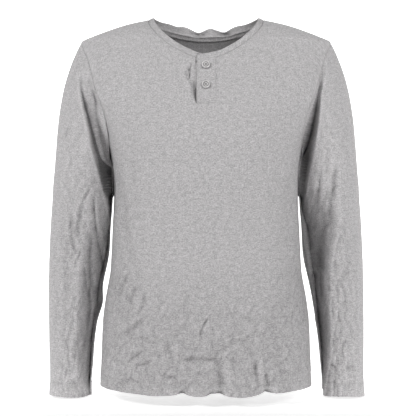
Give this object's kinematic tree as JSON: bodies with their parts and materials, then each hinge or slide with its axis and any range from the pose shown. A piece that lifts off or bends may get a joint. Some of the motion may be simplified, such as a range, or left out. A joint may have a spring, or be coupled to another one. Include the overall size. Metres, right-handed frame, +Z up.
{
  "type": "henley shirt",
  "caption": "Long-sleeved henley shirt of marl jersey, filled out as worn, with a narrow neckband, a buttoned half placket, open hem and open cuffs.",
  "frame": {"origin": "on the wearer's centre plane, midway between the shoulders and level with the middle of the shoulder seams, where the wearer's shoulders hold the shirt up", "axes": "+Z up the wearer, -Y the way the wearer faces, +X towards the wearer's left arm"},
  "size_m": [0.5885, 0.2396, 0.706],
  "materials": {
    "jersey": "soft mid-grey marl cotton jersey, matt",
    "button": "grey moulded polyester, satin"
  },
  "bodies": {
    "root": {"front": "jersey", "back": "jersey", "sleeve_right": "jersey", "sleeve_left": "jersey", "neckband": "jersey", "neck_tape": "jersey", "placket_over": "jersey", "placket_under": "jersey", "button_upper": "button", "button_lower": "button"}
  },
  "joints": []
}
